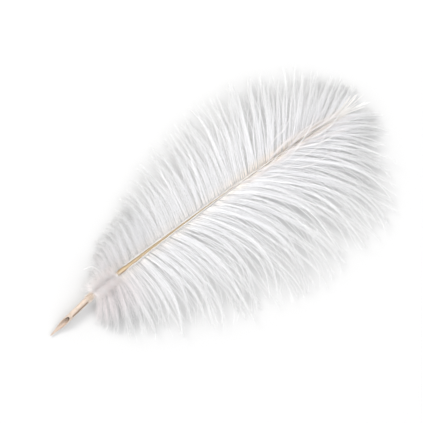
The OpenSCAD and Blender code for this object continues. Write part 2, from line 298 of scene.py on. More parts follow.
def pithMaterial():
    # air-filled pith, dried: chalky and matt, with cells that make it a little uneven
    material, tree, shader = newMaterial("dry feather pith")
    place = add(tree, "ShaderNodeTexCoord").outputs["Object"]
    # pith cells are 0.03 mm; drawn 0.4 mm wide so that they show
    cells = add(tree, "ShaderNodeTexVoronoi", {"Scale": 2500.0}, {"Vector": place}).outputs["Distance"]
    toneAndShade = add(tree, "ShaderNodeMix", {"data_type": "RGBA", 6: linear("#d3c3a6"), 7: linear("#c0ab8b")},
               {"Factor": cells})
    bump = add(tree, "ShaderNodeBump", {"Strength": 0.4, "Distance": 0.0001}, {"Height": cells})
    tree.links.new(toneAndShade.outputs[2], shader.inputs["Base Color"])
    tree.links.new(bump.outputs["Normal"], shader.inputs["Normal"])
    shader.inputs["Roughness"].default_value = 0.85
    return material


def plumeKeratin():
    # bleached ostrich barbs: keratin threads too thin to shine one by one, so they read as soft white,
    # each with the tint that its own vertices carry
    material, tree, shader = newMaterial("bleached ostrich barb keratin")
    tint = add(tree, "ShaderNodeAttribute", {"attribute_name": "tint"}).outputs["Color"]
    place = add(tree, "ShaderNodeTexCoord").outputs["Object"]
    cloud = add(tree, "ShaderNodeTexNoise", {"Scale": 160.0, "Detail": 3.0}, {"Vector": place})
    faint = add(tree, "ShaderNodeMapRange", {"To Min": 0.975, "To Max": 1.0},
                {"Value": cloud.outputs["Fac"]})
    shown = add(tree, "ShaderNodeVectorMath", {"operation": "SCALE"},
                {0: tint, "Scale": faint.outputs["Result"]})
    tree.links.new(shown.outputs["Vector"], shader.inputs["Base Color"])
    shader.inputs["Roughness"].default_value = 0.7
    shader.inputs["IOR"].default_value = 1.54
    shader.inputs["Sheen Weight"].default_value = 0.15
    shader.inputs["Subsurface Weight"].default_value = 0.7
    shader.inputs["Subsurface Radius"].default_value = (0.002, 0.002, 0.002)
    return material


def tableMaterial():
    # matt white board, so pale that the studio light washes it out
    material, tree, shader = newMaterial("matt white board")
    place = add(tree, "ShaderNodeTexCoord").outputs["Object"]
    tooth = add(tree, "ShaderNodeTexNoise", {"Scale": 900.0, "Detail": 2.0}, {"Vector": place})
    bump = add(tree, "ShaderNodeBump", {"Strength": 0.05, "Distance": 0.0001},
               {"Height": tooth.outputs["Fac"]})
    tree.links.new(bump.outputs["Normal"], shader.inputs["Normal"])
    shader.inputs["Base Color"].default_value = linear("#c3c3c3")
    shader.inputs["Roughness"].default_value = 0.9
    return material


# mesh building: a part is its points, lists of polygons of one size each, and named values at the points
def threadMesh(paths, radii, sides, tints):
    # closed threads along many paths at once: (threads, points, 3), (threads, points) and a tint each
    n, k, _ = paths.shape
    along = unit(np.gradient(paths, axis=1))
    steady = np.where(np.abs(along[:, :1, 2:]) > 0.9, [1.0, 0, 0], [0, 0, 1.0])
    across = unit(np.cross(along, steady))
    lift = np.cross(across, along)
    turn = np.linspace(0, 2 * math.pi, sides, endpoint=False)
    ring = (across[:, :, None] * np.cos(turn)[:, None] + lift[:, :, None] * np.sin(turn)[:, None])
    verts = (paths[:, :, None] + ring * radii[:, :, None, None]).reshape(-1, 3)
    j = np.arange(sides)
    base = (np.arange(n)[:, None] * k + np.arange(k - 1)) * sides
    quads = np.stack([base[..., None] + j, base[..., None] + (j + 1) % sides,
                      base[..., None] + sides + (j + 1) % sides, base[..., None] + sides + j],
                     -1).reshape(-1, 4)
    rootCaps = np.arange(n)[:, None] * k * sides + j[::-1]
    tipCaps = np.arange(n)[:, None] * k * sides + (k - 1) * sides + j
    tints = np.broadcast_to(tints if tints.ndim == 3 else tints[:, None], (n, k, 3))
    return verts, [quads, rootCaps, tipCaps], np.repeat(tints, sides, axis=1).reshape(-1, 3), (n, k, sides)


def threadMap(shapes):
    # a texture map with a small cell for each thread: along it one way, round it the other
    total = sum(n for n, _, _ in shapes)
    rows = math.ceil(math.sqrt(total))
    first, made = 0, []
    for n, k, sides in shapes:
        cell = first + np.arange(n)[:, None, None]
        u = np.linspace(0.1, 0.8, k)[None, :, None] + 0.1 * (np.arange(sides) % 2)
        v = np.linspace(0.1, 0.9, sides)[None, None]
        made.append(np.stack(np.broadcast_arrays((cell % rows + u) / rows, (cell // rows + v) / rows),
                             -1).reshape(-1, 2))
        first += n
    return np.concatenate(made)


def meshObject(name, verts, polygons, material, tints=None, values=None, uv=None):
    mesh = bpy.data.meshes.new(name)
    loops = np.concatenate([p.ravel() for p in polygons]).astype(np.int32)
    sizes = np.concatenate([np.full(len(p), p.shape[1]) for p in polygons])
    mesh.vertices.add(len(verts))
    mesh.vertices.foreach_set("co", verts.astype(np.float32).ravel())
    mesh.loops.add(len(loops))
    mesh.loops.foreach_set("vertex_index", loops)
    mesh.polygons.add(len(sizes))
    mesh.polygons.foreach_set("loop_start", np.concatenate([[0], np.cumsum(sizes)[:-1]]).astype(np.int32))
    mesh.polygons.foreach_set("use_smooth", np.full(len(sizes), True))
    if tints is not None:
        colours = np.concatenate([tints, np.ones((len(tints), 1))], 1).astype(np.float32)
        mesh.attributes.new("tint", "FLOAT_COLOR", "POINT").data.foreach_set("color", colours.ravel())
    for key, numbers in (values or {}).items():
        mesh.attributes.new(key, "FLOAT", "POINT").data.foreach_set("value", numbers.astype(np.float32))
    if uv is not None:
        mesh.uv_layers.new(name="OFBake").data.foreach_set("uv", uv[loops].astype(np.float32).ravel())
    mesh.update(calc_edges=True)
    mesh.materials.append(material)
    piece = bpy.data.objects.new(name, mesh)
    bpy.context.scene.collection.objects.link(piece)
    return piece


def fluffPiece(name, threads, node=None):
    # one plume piece from several sets of threads, riding with the quill
    starts = np.cumsum([0] + [len(t[0]) for t in threads])
    polygons = [p + start for t, start in zip(threads, starts) for p in t[1]]
    piece = meshObject(name, np.concatenate([t[0] for t in threads]), polygons, plumeFinish,
                       tints=np.concatenate([t[2] for t in threads]), uv=threadMap([t[3] for t in threads]))
    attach(piece, "quill")
    if node:
        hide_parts(node)
    triangles = sum(len(p) * (p.shape[1] - 2) for p in polygons)
    print(name, sum(t[3][0] for t in threads), "threads,", triangles, "triangles")


# the shaft's line, read from the frame
def readShaft(node, gap=2 * mm):
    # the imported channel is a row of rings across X: each gives a centre, a width and the two directions
    co = np.array([v.co for v in frame["nodes"][node].data.vertices], float)
    co = co[np.argsort(co[:, 0])]
    rings = np.split(co, np.nonzero(np.diff(co[:, 0]) > gap)[0] + 1)
    middles = np.array([r.mean(0) for r in rings])
    along = unit(np.gradient(middles, axis=0))
    side = unit(np.cross([0, 0, 1.0], along))
    up = np.cross(along, side)
    widths = np.array([np.ptp(r @ s) for r, s in zip(rings, side)])
    low = np.array([(r @ u).min() for r, u in zip(rings, up)])
    centres = middles + up * (low + widths / 2 - np.sum(middles * up, 1))[:, None]
    mid = np.array([((r @ s).max() + (r @ s).min()) / 2 for r, s in zip(rings, side)])
    centres += side * (mid - np.sum(middles * side, 1))[:, None]
    return centres, widths


ringCentres, ringWidths = readShaft("shaft_horn")
fineCount = 240
shaftLine = smoothLine(ringCentres, fineCount)
shaftWidth = smoothLine(ringWidths[:, None], fineCount)[:, 0]
shaftAlong = unit(np.gradient(shaftLine, axis=0))
shaftSide = unit(np.cross([0, 0, 1.0], shaftAlong))
shaftUp = np.cross(shaftAlong, shaftSide)
shaftRun = np.concatenate([[0], np.cumsum(np.linalg.norm(np.diff(shaftLine, axis=0), axis=1))])
shaftLength = shaftRun[-1]
print("shaft length", round(shaftLength / mm, 1), "mm, widths", (ringWidths[[0, -1]] / mm).round(2))


def onShaft(values, t):
    # a value of the shaft's line at shares t of its length
    x = np.asarray(t) * shaftLength
    if values.ndim == 1:
        return np.interp(x, shaftRun, values)
    return np.stack([np.interp(x, shaftRun, values[:, i]) for i in range(values.shape[1])], -1)


# horn and pith of the shaft: lip in degrees, sizes in shares of the shaft's width
shaftPlan = {"lip": 52, "squareness": 1 / 1.3, "outer": 0.5, "innerRoot": 0.34, "innerTip": 0.14,
             "rowPoints": 25, "pithEnd": 0.82, "groove": 0.45, "grooveTop": 0.06, "browner": (0.15, 0.75),
             "edge": {"height": 0.3, "fade": 0.22, "aside": 0.2, "share": 0.75}}


def squarish(angle, r, squareness):
    # a circle pushed out towards its corners
    return np.stack([r * np.sign(w) * np.abs(w) ** squareness for w in (np.cos(angle), np.sin(angle))], -1)


def loftPiece(name, t, rows, material, values):
    # a closed tube through sections across the shaft, each a loop of (side, up) in shares of the width
    width = onShaft(shaftWidth, t)[:, None, None]
    verts = (onShaft(shaftLine, t)[:, None] + width * (rows[..., :1] * onShaft(shaftSide, t)[:, None]
                                                      + rows[..., 1:] * onShaft(shaftUp, t)[:, None]))
    k, m = rows.shape[:2]
    j = np.arange(m)
    base = (np.arange(k - 1) * m)[:, None]
    after = (j + 1) % m
    quads = np.stack([base + j, base + after, base + m + after, base + m + j], -1).reshape(-1, 4)
    i = np.arange(m // 2 - 1)
    cap = np.stack([i, m - 1 - i, m - 2 - i, i + 1], -1)
    polygons = [quads[:, ::-1], cap, cap[:, ::-1] + (k - 1) * m]
    piece = meshObject(name, verts.reshape(-1, 3), polygons, material, values=values)
    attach(piece, "quill")
    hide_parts(name.rsplit("_", 1)[0])
    return piece


def makeShaft(plan, keratin, pith):
    lip = math.radians(plan["lip"])
    angle = np.linspace(lip, -math.pi - lip, plan["rowPoints"])
    t = np.linspace(0, 1, fineCount)
    inner = (plan["innerRoot"] + (plan["innerTip"] - plan["innerRoot"]) * t)[:, None, None]
    outerRow = np.broadcast_to(squarish(angle, plan["outer"], plan["squareness"]), (len(t), len(angle), 2))
    innerRow = squarish(angle, 1.0, plan["squareness"]) * inner
    rows = np.concatenate([outerRow, innerRow[:, ::-1]], 1)
    lips = plan["edge"]
    edge = np.clip(1.1 - np.abs(rows[..., 1] - lips["height"]) / lips["fade"], 0, 1)
    edge = lips["share"] * (edge * (np.abs(rows[..., 0]) > lips["aside"]))
    run = np.broadcast_to(ease(t, *plan["browner"])[:, None], edge.shape)
    horn = loftPiece("shaft_horn_smooth", t, rows, keratin, {"run": run.ravel(), "edge": edge.ravel()})
    t = t[t < plan["pithEnd"]]
    inner = inner[:len(t)]
    innerRow = innerRow[:len(t)]
    x = np.linspace(1, -1, plan["rowPoints"])
    corner = squarish(np.array([lip]), 1.0, plan["squareness"])[0]
    floorRow = np.stack([np.broadcast_to(corner[0] * x * inner[..., 0], (len(t), len(x))),
                         corner[1] * inner[..., 0] + plan["grooveTop"]
                         - plan["groove"] * inner[..., 0] * (1 - x * x) ** 3], -1)
    rows = np.concatenate([innerRow, floorRow[:, ::-1]], 1)
    pithPiece = loftPiece("shaft_pith_smooth", t, rows, pith, {})


makeShaft(shaftPlan, shaftKeratin(shaftFinish), pithMaterial())
print("shaft made")

# barbs: each side's shape by share of the shaft's length; angles are from the shaft, lengths in mm
vanePlan = {
    "left": {
        "sign": 1,
        "length": [(0, 12), (0.03, 17), (0.1, 30), (0.2, 37), (0.26, 43), (0.39, 54), (0.56, 61), (0.7, 62),
                   (0.81, 55), (0.91, 42), (1, 27)],
        "root": [(0, 62), (0.1, 74), (0.2, 72), (0.39, 72), (0.56, 68), (0.7, 60), (0.81, 52), (0.91, 40),
                 (1, 22)],
        "tip": [(0, 76), (0.1, 94), (0.2, 86), (0.28, 100), (0.39, 100), (0.56, 88), (0.7, 70), (0.81, 50),
                (0.91, 34), (1, 16)],
        "curl": [(0, 25), (0.1, 45), (0.22, 30), (0.3, 0)],
        "ragged": [(0, 0.05), (0.22, 0.05), (0.32, 0.15), (0.75, 0.13), (0.86, 0.07), (1, 0.05)],
        "wave": [(0, 6), (0.3, 10), (0.7, 10), (0.82, 7), (1, 4)],
    },
    "right": {
        "sign": -1,
        "length": [(0, 20), (0.03, 34), (0.08, 46), (0.16, 57), (0.26, 73), (0.39, 90), (0.56, 101),
                   (0.7, 97), (0.81, 72), (0.91, 50), (1, 28)],
        "root": [(0, 122), (0.05, 104), (0.1, 88), (0.26, 62), (0.39, 48), (0.56, 36), (0.7, 30),
                 (0.81, 27), (0.91, 23), (1, 16)],
        "tip": [(0, 150), (0.05, 130), (0.1, 116), (0.26, 116), (0.39, 112), (0.56, 98), (0.7, 80),
                (0.81, 61), (0.91, 43), (1, 26)],
        "curl": [(0, 20), (0.1, 10), (0.3, 0)],
        "ragged": [(0, 0.1), (0.2, 0.12), (0.5, 0.15), (0.8, 0.11), (0.9, 0.07), (1, 0.05)],
        "wave": [(0, 9), (0.4, 13), (0.7, 11), (0.88, 7), (1, 4)],
    },
}
# under: an even bed of soft barbs. locks: barbs above it that gather into points. strands: single bright
# barbs over all, each going its own way
# the tone ranges are painted shade and painted light: strands on top are painted darker and the bed below
# lighter, to even out how the light falls on them
layerPlan = {
    "under": {"pitch": 1.8, "members": 1, "points": 22, "rise": (3.0, 5.4),
              "tipHeight": (1.0, 5.0), "lean": 6.0, "wave": 1.0, "scatter": 0.2, "reach": 0.94,
              "radius": (0.15, 0.05), "toneAndShade": (0.98, 1.0)},
    "locks": {"pitch": 3.6, "members": 3, "gather": 0.25, "width": 0.42, "stray": 0.06,
              "lift": 0.6, "kept": (0.84, 1.0), "points": 26, "rise": (3.0, 6.0),
              "tipHeight": (1.5, 6.0), "lean": 5.0, "wave": 1.2, "scatter": 0.3, "reach": 1.0,
              "radius": (0.15, 0.06), "toneAndShade": (0.91, 0.97)},
    "strands": {"pitch": 1.5, "members": 1, "points": 30, "rise": (3.2, 5.6),
                "tipHeight": (2.0, 7.0), "lean": 8.0, "wave": 1.9, "scatter": 0.8, "reach": 0.96,
                "radius": (0.15, 0.05), "toneAndShade": (0.83, 0.92)},
}
# barbs lean together in slow waves along the shaft: degrees, then how many waves and where each starts
bunchPlan = {"swing": 1.6, "waves": ((17, 0.1), (31, 0.5), (53, 0.8))}
# where barbs leave the shaft: aside and up from its line, in shares of its width
rootPlan = {"vane": (0.44, 0.1), "loose": (0.4, 0.3)}
fullBarb = 60 * mm  # barbs from about this length on are as thick and as high as they get
firstBarb = 0.9  # mm from the barrel's end
shaftEnds = (0.002, 0.998)  # roots keep off the shaft's very ends
threadSides = {"barb": 4, "barbule": 3}
tableGap = {"barb": 0.3 * mm, "barbule": 0.18 * mm, "down": 0.2 * mm}
# pitch, length and radius in mm, angles in degrees; the habit holds where a plan says nothing else
barbuleHabit = {"roll": 20, "twist": 25, "frizz": 0.0, "crimp": 7, "angleSpread": 9, "liftSpread": 16,
                "reach": (0.6, 1.25), "thickness": (0.8, 1.2),
                "thin": [(0, 1), (0.5, 0.85), (1, 0.35)]}
downHabit = {"roll": 40, "frizz": 0.28, "angle": 66, "points": 4, "longer": 1.5, "closer": 0.85}
barbulePlan = {
    "under": {"pitch": 0.66, "length": 3.0, "angle": 54, "radius": 0.048, "ridge": 10, "points": 3},
    "locks": {"pitch": 0.66, "length": 1.5, "angle": 44, "radius": 0.05, "ridge": 15, "points": 3},
    "strands": {"pitch": 0.6, "length": 0.95, "angle": 42, "radius": 0.045, "ridge": 12, "points": 3},
}
# the plume's few tints, and where each shows
tints = {name: np.array(linear(h)[:3]) for name, h in
         {"white": "#ffffff", "cool": "#f9f9fc", "pink": "#fbf0f0", "peach": "#fdf1e4", "rose": "#f7e8e6",
          "neck": "#d8c4b3"}.items()}
tintPlan = {
    "cool": {"share": 0.75, "fade": (0.35, 0.95)},
    "pink": {"left": 0.3, "right": 0.75, "along": (0.04, 0.2), "away": (14 * mm, 34 * mm)},
    "peach": {"share": 0.35, "more": 0.5, "along": (0.45, 0.7), "away": (2 * mm, 9 * mm)},
    # painted shade: barbs darken a little towards their ends
    "tipShade": {"share": 0.2, "fade": (0.4, 1)},
}


def vanePaths(side, layer, steady=False):
    # lines of one side, root to tip; a steady set leaves out the chance bends
    plan, own = vanePlan[side], layerPlan[layer]
    chance = 0.0 if steady else 1.0
    t = np.arange(firstBarb, shaftLength / mm - 1, own["pitch"]) * mm / shaftLength
    n, k = len(t), own["points"]
    t = t + chance * own["scatter"] * own["pitch"] * mm / shaftLength * dice.normal(size=n)
    t = np.clip(t, *shaftEnds)
    length = keyed(plan["length"], t) * mm * own["reach"]
    length = length * np.clip(1 + chance * dice.normal(0, keyed(plan["ragged"], t)), 0.65, 1.14)
    bunch = sum(np.sin(2 * math.pi * (t * f + p)) for f, p in bunchPlan["waves"]) * bunchPlan["swing"]
    root = keyed(plan["root"], t) + chance * dice.normal(0, 0.6 * own["lean"], n)
    tip = keyed(plan["tip"], t) + chance * (dice.normal(0, own["lean"], n) + bunch)
    u = np.linspace(0, 1, k)
    wave = (keyed(plan["wave"], t)[:, None] * chance * own["wave"] * u
            * np.sin(2 * math.pi * (u * dice.uniform(0.8, 1.5, (n, 1)) + dice.random((n, 1)))))
    curl = keyed(plan["curl"], t)[:, None] * ease(u, 0.55, 1)
    lean = root[:, None] + (tip - root)[:, None] * u ** 1.1 + wave + curl
    ahead = onShaft(shaftAlong, t)
    heading = np.degrees(np.arctan2(ahead[:, 1], ahead[:, 0]))[:, None] + plan["sign"] * lean
    step = length[:, None] / (k - 1)
    flat = np.stack([np.cos(np.radians(heading)), np.sin(np.radians(heading))], -1)
    mid = (flat[:, 1:] + flat[:, :-1]) / 2
    width = onShaft(shaftWidth, t)
    aside, up = rootPlan["vane"]
    start = (onShaft(shaftLine, t) + plan["sign"] * onShaft(shaftSide, t) * (aside * width)[:, None]
             + onShaft(shaftUp, t) * (up * width)[:, None])
    size = np.clip(length / fullBarb, 0.35, 1.1)
    rise = (dice.uniform(*own["rise"], n) * mm * size)[:, None]
    end = (dice.uniform(*own["tipHeight"], n) * mm * size)[:, None]
    z = start[:, 2:] * (1 - u ** 1.6) + end * u ** 1.6 + rise * np.sin(math.pi * u ** 0.8)
    slope = np.gradient(z, axis=1) / step
    run = np.sqrt(np.clip(1 - slope ** 2, 0.36, 1))
    moves = mid * (step * (run[:, 1:] + run[:, :-1]) / 2)[..., None]
    xy = start[:, None, :2] + np.concatenate([np.zeros((n, 1, 2)), np.cumsum(moves, 1)], 1)
    return np.concatenate([xy, np.maximum(z, tableGap["barb"])[..., None]], -1), t, length


def lockBarbs(side, layer):
    # each line becomes a lock of several barbs, side by side at the shaft and gathered at the tip
    own = layerPlan[layer]
    lines, t, length = vanePaths(side, layer)
    if own["members"] == 1:
        return lines, t, length
    even, _, _ = vanePaths(side, layer, steady=True)
    spacing = np.gradient(even, axis=0)
    k = lines.shape[1]
    u = np.linspace(0, 1, k)[:, None]
    barbs, shares, lengths = [], [], []
    for m in range(own["members"]):
        f = own["width"] * (2 * (m + 0.5) / own["members"] - 1)
        f = f + dice.normal(0, own["stray"], (len(t), 1, 1))
        hold = 1 + (own["gather"] - 1) * ease(u, 0.1, 0.95)
        barb = lines + spacing * f * hold
        barb[..., 2] += dice.normal(0, own["lift"], (len(t), 1)) * mm * u[:, 0]
        keep = dice.uniform(*own["kept"], (len(t), 1)) * u[:, 0] * (k - 1)
        i = np.minimum(keep.astype(int), k - 2)
        rest = (keep - i)[..., None]
        row = np.arange(len(t))[:, None]
        barb = barb[row, i] * (1 - rest) + barb[row, i + 1] * rest
        barb[..., 2] = np.maximum(barb[..., 2], tableGap["barb"])
        barbs.append(barb)
        shares.append(t + f[:, 0, 0] * own["pitch"] * mm / shaftLength)
        lengths.append(length * keep[:, -1] / (k - 1))
    return np.concatenate(barbs), np.concatenate(shares), np.concatenate(lengths)


def plumeTint(side, t, away, u, toneAndShade):
    # near white, cooler inside the vane, pink by the down, peach beside the shaft; tone is each barb's own
    # brightness and its layer's painted shade
    cool, pink, peach, tipShade = (tintPlan[name] for name in ("cool", "pink", "peach", "tipShade"))
    cool = cool["share"] * (1 - ease(u, *cool["fade"]))
    pink = pink[side] * (1 - ease(t, *pink["along"])) * (1 - ease(away, *pink["away"]))
    peach = (peach["share"] + peach["more"] * ease(t, *peach["along"])) * (1 - ease(away, *peach["away"]))
    colour = np.broadcast_to(tints["white"], np.broadcast_shapes(u.shape, t.shape) + (3,))
    for share, name in ((cool, "cool"), (pink, "pink"), (peach, "peach")):
        share = np.broadcast_to(share, colour.shape[:-1])[..., None]
        colour = colour * (1 - share) + tints[name] * share
    # painted shade: each barb darkens towards its thin end
    toneAndShade = toneAndShade * (1 - tipShade["share"] * ease(u, *tipShade["fade"]))  # thin ends are shown less bright
    return colour * np.broadcast_to(toneAndShade, colour.shape[:-1])[..., None]


def barbules(paths, length, barbTints, own):
    # loose side threads along both edges of each barb, swept towards its tip
    own = {**barbuleHabit, **own}
    n, k, _ = paths.shape
    counts = np.maximum((length / mm / own["pitch"]).astype(int), 5)
    which = np.repeat(np.arange(n), counts)
    order = np.arange(len(which)) - np.repeat(np.cumsum(counts) - counts, counts)
    u = 0.03 + 0.965 * (order + dice.random(len(which))) / counts[which]
    i = np.minimum((u * (k - 1)).astype(int), k - 2)
    rest = (u * (k - 1) - i)[:, None]
    spot = paths[which, i] * (1 - rest) + paths[which, i + 1] * rest
    tint = barbTints[which, i] * (1 - rest) + barbTints[which, i + 1] * rest
    along = unit(paths[which, i + 1] - paths[which, i])
    roll = np.radians(dice.normal(0, own["roll"], n)[which]
                      + own["twist"] * np.sin(3 * u + fullTurn * dice.random(n)[which]))[:, None]
    flat = unit(np.cross([0, 0, 1.0], along))
    up = np.cross(along, flat)
    across = flat * np.cos(roll) + up * np.sin(roll)
    over = np.cross(along, across)
    v = np.linspace(0, 1, own["points"])[:, None]
    m = len(which)
    made = []
    for hand in (1, -1):
        angle = np.radians(own["angle"] * (1.1 - 0.45 * u) + dice.normal(0, own["angleSpread"], m))[:, None]
        lift = np.radians(own["ridge"] + dice.normal(0, own["liftSpread"], m))[:, None]
        out = across * hand * np.cos(lift) + over * np.sin(lift)
        go = along * np.cos(angle) + out * np.sin(angle)
        full = 0.6 + 0.4 * np.sin(math.pi * np.clip(0.12 + 0.8 * u, 0, 1))
        reach = (own["length"] * mm * full * dice.uniform(*own["reach"], m))[:, None, None]
        sweep = 0.3 * along - over * (0.35 * np.sin(lift) + 0.12)
        wobble = 0.0
        if own["frizz"]:
            bend = fullTurn * dice.random((m, 1, 1)) + own["crimp"] * v
            sway = unit(np.cross(go, over))[:, None] * np.sin(bend) + over[:, None] * np.cos(bend)
            wobble = own["frizz"] * v * sway
        made.append(spot[:, None] + reach * (v * go[:, None] + v * v * sweep[:, None] + wobble))
    threads = np.concatenate(made)
    threads[..., 2] = np.maximum(threads[..., 2], tableGap["barbule"])
    thin = keyed(own["thin"], v[:, 0])
    radii = own["radius"] * mm * thin * dice.uniform(*own["thickness"], (len(threads), 1))
    return threads, radii, np.concatenate([tint, tint])


def frond(paths, length, barbTints, radius, own):
    # barbs with their barbules, as two sets of threads
    u = np.linspace(0, 1, paths.shape[1])
    size = np.clip(length / fullBarb, 0.6, 1.1)[:, None]
    radii = (radius[0] + (radius[1] - radius[0]) * u ** 0.7) * mm * size
    threads, threadRadii, threadTints = barbules(paths, length, barbTints, own)
    return [threadMesh(paths, radii, threadSides["barb"], barbTints),
            threadMesh(threads, threadRadii, threadSides["barbule"], threadTints)]


# the stretches of a vane, by share of the shaft's length
zones = [("down", 0, 0.1), ("base_barbs", 0.1, 0.25), ("lower_barbs", 0.25, 0.42),
         ("middle_barbs", 0.42, 0.6), ("upper_barbs", 0.6, 0.8), ("tip_barbs", 0.8, 1.01)]
openFoot = {"below": 0.23, "kept": 0.35}  # the left vane's foot has fewer strands, so its down lies open
plumeFinish = plumeKeratin()
for side in ("left", "right"):
    for layer in ("under", "locks", "strands"):
        own = layerPlan[layer]
        paths, shares, lengths = lockBarbs(side, layer)
        u = np.linspace(0, 1, paths.shape[1])[None]
        toneAndShade = dice.uniform(*own["toneAndShade"], (len(shares), 1))
        barbTints = plumeTint(side, shares[:, None], u * lengths[:, None], u, toneAndShade)
        if layer == "strands" and side == "left":
            few = (shares > openFoot["below"]) | (dice.random(len(shares)) < openFoot["kept"])
            paths, shares, lengths, barbTints = paths[few], shares[few], lengths[few], barbTints[few]
        for zoneName, low, high in zones:
            mine = (shares >= low) & (shares < high)
            mine |= (shares < 0) if low == 0 else (shares >= 1.01) & (high > 1)
            fringe = dict(barbulePlan[layer])
            if zoneName == "down" or (side == "left" and zoneName == "base_barbs"):
                fringe.update(downHabit, length=downHabit["longer"] * fringe["length"],
                              pitch=downHabit["closer"] * fringe["pitch"])
            node = side + "_" + zoneName
            threads = frond(paths[mine], lengths[mine], barbTints[mine], own["radius"], fringe)
            fluffPiece(f"{node}_{layer}", threads, node)
print("vanes made")

# loose barbs: across the shaft from either side, and the spray beyond its end
# (share of the shaft's length at the root, angles at root and tip, rise, length in mm, strands)
crossingPlan = [
    (0.6, -22, 18, 16, 36, 3), (0.67, -20, 14, 18, 38, 3), (0.72, 20, -4, 18, 34, 3),
    (0.77, -18, 8, 18, 36, 3), (0.8, 14, -10, 18, 34, 3), (0.83, -16, 6, 18, 32, 3),
    (0.88, 12, -6, 14, 27, 3), (0.8, -15, -16, 12, 46, 4), (0.86, -12, -14, 10, 38, 4),
    (0.92, -10, -12, 8, 28, 4),
]
# how far single strands stray from their row
strayPlan = {"share": 0.004, "root": 2.5, "tip": 4, "rise": 2, "length": (0.85, 1.05), "radius": (0.2, 0.08)}
sprayPlan = {"strands": 34, "fan": 17, "length": (19, 26), "from": 0.9, "root": (0.7, 2), "tip": (1.6, 3),
             "rise": (-2, 12), "radius": (0.18, 0.07)}
loosePlan = {"pitch": 0.6, "length": 1.6, "angle": 38, "radius": 0.07, "ridge": 18, "points": 3}


def looseBarb(t, side, root, tip, rise, length, points=26):
    # an arc that leaves one side of the shaft, climbs and comes down again
    u = np.linspace(0, 1, points)
    aside, up = rootPlan["loose"]
    start = (onShaft(shaftLine, t) + side * onShaft(shaftSide, t) * aside * onShaft(shaftWidth, t)
             + onShaft(shaftUp, t) * up * onShaft(shaftWidth, t))
    ahead = onShaft(shaftAlong, t)
    heading = math.atan2(ahead[1], ahead[0]) + np.radians(root + (tip - root) * u)
    climb = np.radians(rise * (1 - 1.9 * u))
    go = np.stack([np.cos(heading) * np.cos(climb), np.sin(heading) * np.cos(climb), np.sin(climb)], -1)
    steps = (go[1:] + go[:-1]) / 2 * length * mm / (points - 1)
    return start + np.concatenate([np.zeros((1, 3)), np.cumsum(steps, 0)])


def looseSet(rows):
    paths = np.array([looseBarb(*row) for row in rows])
    return paths, np.array([row[5] for row in rows]) * mm


rows = []
for t, root, tip, rise, length, strands in crossingPlan:
    for _ in range(strands):
        rows.append((t + dice.normal(0, strayPlan["share"]), np.sign(root),
                     root + dice.normal(0, strayPlan["root"]), tip + dice.normal(0, strayPlan["tip"]),
                     rise + dice.normal(0, strayPlan["rise"]), length * dice.uniform(*strayPlan["length"])))
paths, lengths = looseSet(rows)
warm = np.broadcast_to((0.5 * tints["pink"] + 0.5 * tints["white"]) * 0.95, paths.shape)
threads = frond(paths, lengths, warm, strayPlan["radius"], loosePlan)
fluffPiece("crossing_barbs_fluff", threads, "crossing_barbs")

# barbs that have come loose and lie over the others: places in mm from root to tip, and how many together
coverPlan = [
    ([(50, 14.8, 12), (60, 8.6, 15), (71, 5.6, 16.5), (87.5, 8.4, 16.5), (97, 11, 15), (104, 15, 13)], 4),
    ([(40, 16.4, 12), (48, 8, 15), (57, 3, 16), (73.4, 1, 16.5), (86.5, -2.3, 16.5), (97, -1, 16),
      (104, 3.5, 14)], 3),
    ([(58, 13.5, 12), (68, -2, 15), (79.4, -9.7, 15.5), (89, -11.8, 15), (95.5, -11, 13.5)], 3),
    ([(58, 13.6, 12), (64, 20, 14.5), (73, 22.3, 16), (80, 22.3, 16), (89, 24.6, 14)], 3),
    ([(70, 11.5, 12), (82, 5, 15), (96, -3, 15.5), (112, -6, 13)], 3),
    ([(76, 10.4, 11.5), (88, 12.5, 14.5), (100, 11.5, 14.5), (114, 13, 12)], 3),
    ([(84, 9, 11.5), (94, 3.5, 14.5), (106, 1.5, 14), (119, 3, 11)], 3),
    ([(-76, 33.4, 9.5), (-75.6, 31, 11.6), (-75, 29, 10.8), (-73.6, 26.6, 8.5)], 3),
    ([(-84, 34, 9), (-82, 41, 10), (-83.5, 47.5, 7), (-89, 50.6, 4.5)], 2),
]
# the tone darkens these topmost barbs a little: painted shade against the light that falls on them
coverHabit = {"points": 26, "arch": 1.5, "spread": 0.35, "toneAndShade": 0.93, "radius": (0.15, 0.06)}
coverFringe = {"pitch": 0.45, "length": 0.8, "angle": 32, "radius": 0.055, "ridge": 15, "points": 3}
coverSets = []
for points, together in coverPlan:
    count = coverHabit["points"]
    line = smoothLine(np.array(points, float) * mm, count)
    line[:, 2] += coverHabit["arch"] * mm * np.sin(math.pi * np.linspace(0, 1, count))
    shift = dice.normal(0, coverHabit["spread"] * mm, (together, 1, 3))
    paths = line[None] + shift * np.linspace(0.3, 1, count)[:, None]
    lengths = np.full(together, np.linalg.norm(np.diff(line, axis=0), axis=1).sum())
    colour = np.broadcast_to(0.25 * tints["pink"] + 0.75 * tints["white"], paths.shape)
    coverSets += frond(paths, lengths, colour * coverHabit["toneAndShade"], coverHabit["radius"], coverFringe)
fluffPiece("cover_barbs_fluff", coverSets)

